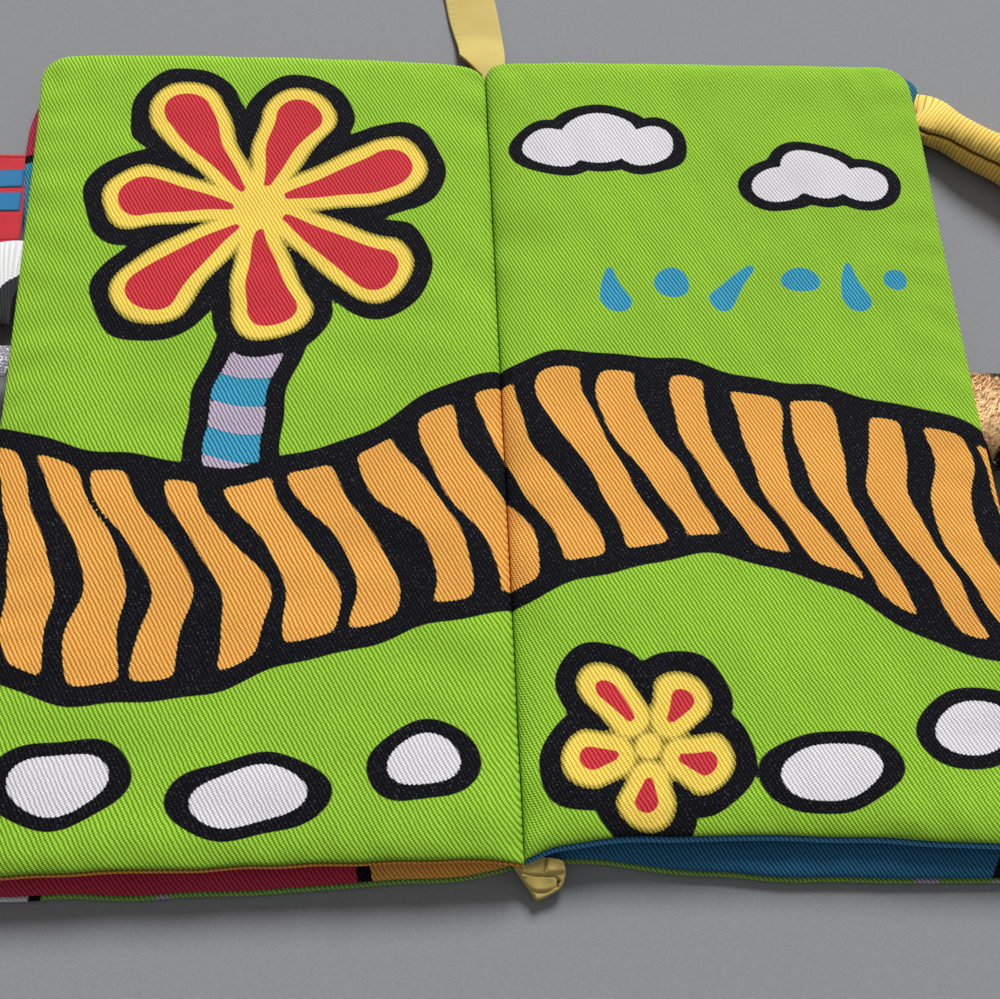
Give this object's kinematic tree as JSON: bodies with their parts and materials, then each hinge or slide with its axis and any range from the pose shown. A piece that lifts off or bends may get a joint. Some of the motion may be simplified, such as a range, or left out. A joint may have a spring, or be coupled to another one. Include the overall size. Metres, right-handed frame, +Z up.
{
  "type": "crinkle cloth book",
  "caption": "Padded cloth book lying open, with turning leaves, a fabric strap at the spine and soft tails sewn into the page edges.",
  "frame": {"origin": "on the flat underside of the spine binding, halfway along the spine, in the plane of the table", "axes": "+X across the book to the right-hand leaf's fore-edge, +Y along the spine to its head, +Z up from the table; the part lies open at its middle spread"},
  "size_m": [0.4739, 0.3637, 0.0262],
  "materials": {
    "page_print": "coarse cotton twill with a bright printed pattern",
    "red_print": "coarse cotton twill, printed red",
    "orange_print": "coarse cotton twill, printed orange",
    "blue_print": "coarse cotton twill, printed blue",
    "cover_print": "coarse cotton twill, green with lilac spots",
    "wadding": "soft white polyester wadding",
    "crinkle_film": "thin crackling film",
    "yellow_tape": "pale yellow woven cotton tape",
    "red_cloth": "smooth red cloth",
    "blue_ribbon": "blue ribbed ribbon",
    "banded_cloth": "white twill with black bands",
    "glitter_knit": "grey-lilac knit with a metallic glitter yarn",
    "corduroy": "yellow corduroy with ribs across the tail",
    "plush": "short orange pile with black bands",
    "stuffing": "soft polyester stuffing"
  },
  "bodies": {
    "back_cover": {"back_cover_lining": "blue_print", "back_cover_outer_cloth": "cover_print", "back_cover_wadding": "wadding", "back_cover_crinkle_film": "crinkle_film", "spine_binding": "cover_print", "strap_root": "yellow_tape", "tab_root": "yellow_tape"},
    "front_cover": {"front_cover_lining": "red_print", "front_cover_outer_cloth": "cover_print", "front_cover_wadding": "wadding", "front_cover_crinkle_film": "crinkle_film"},
    "left_leaf": {"left_leaf_top_cloth": "page_print", "left_leaf_under_cloth": "orange_print", "left_leaf_wadding": "wadding", "left_leaf_crinkle_film": "crinkle_film"},
    "right_leaf": {"right_leaf_top_cloth": "page_print", "right_leaf_under_cloth": "blue_print", "right_leaf_wadding": "wadding", "right_leaf_crinkle_film": "crinkle_film"},
    "flat_tail": {"flat_tail_cloth": "red_cloth", "flat_tail_far_ribbon": "blue_ribbon", "flat_tail_near_ribbon": "blue_ribbon"},
    "banded_tail": {"banded_tail_cover": "banded_cloth", "banded_tail_stuffing": "stuffing"},
    "glitter_tail": {"glitter_tail_cover": "glitter_knit", "glitter_tail_stuffing": "stuffing"},
    "corduroy_tail": {"corduroy_tail_cover": "corduroy", "corduroy_tail_stuffing": "stuffing"},
    "plush_tail": {"plush_tail_cover": "plush", "plush_tail_stuffing": "stuffing"},
    "strap": {"strap": "yellow_tape"},
    "foot_tab": {"foot_tab": "yellow_tape"}
  },
  "joints": [
    {"name": "front_cover_hinge", "type": "hinge", "parent": "back_cover", "child": "front_cover", "pos_m": [0, 0, 0.0122], "axis": [0, -1, 0], "range_deg": [-176, 0]},
    {"name": "left_leaf_hinge", "type": "hinge", "parent": "front_cover", "child": "left_leaf", "pos_m": [0, 0, 0.0122], "axis": [0, 1, 0], "range_deg": [0, 176]},
    {"name": "right_leaf_hinge", "type": "hinge", "parent": "back_cover", "child": "right_leaf", "pos_m": [0, 0, 0.0122], "axis": [0, -1, 0], "range_deg": [0, 176]},
    {"name": "flat_tail_hinge", "type": "hinge", "parent": "front_cover", "child": "flat_tail", "pos_m": [-0.1435, 0.07611, 0.00175], "axis": [0, 1, 0], "range_deg": [0, 80]},
    {"name": "banded_tail_hinge", "type": "hinge", "parent": "left_leaf", "child": "banded_tail", "pos_m": [-0.13923, 0.0415, 0.00905], "axis": [0, 1, 0], "range_deg": [0, 40]},
    {"name": "glitter_tail_hinge", "type": "hinge", "parent": "left_leaf", "child": "glitter_tail", "pos_m": [-0.13912, 0.0155, 0.00905], "axis": [0, 1, 0], "range_deg": [0, 40]},
    {"name": "corduroy_tail_hinge", "type": "hinge", "parent": "back_cover", "child": "corduroy_tail", "pos_m": [0.14382, 0.10578, 0.00175], "axis": [0, -1, 0], "range_deg": [0, 60]},
    {"name": "plush_tail_hinge", "type": "hinge", "parent": "right_leaf", "child": "plush_tail", "pos_m": [0.13911, -0.008, 0.00905], "axis": [0, -1, 0], "range_deg": [0, 40]},
    {"name": "strap_hinge", "type": "hinge", "parent": "back_cover", "child": "strap", "pos_m": [0, 0.1302, 0.0051], "axis": [1, 0, 0], "range_deg": [0, 90]},
    {"name": "foot_tab_hinge", "type": "hinge", "parent": "back_cover", "child": "foot_tab", "pos_m": [0, -0.1302, 0.0051], "axis": [-1, 0, 0], "range_deg": [0, 60]}
  ]
}
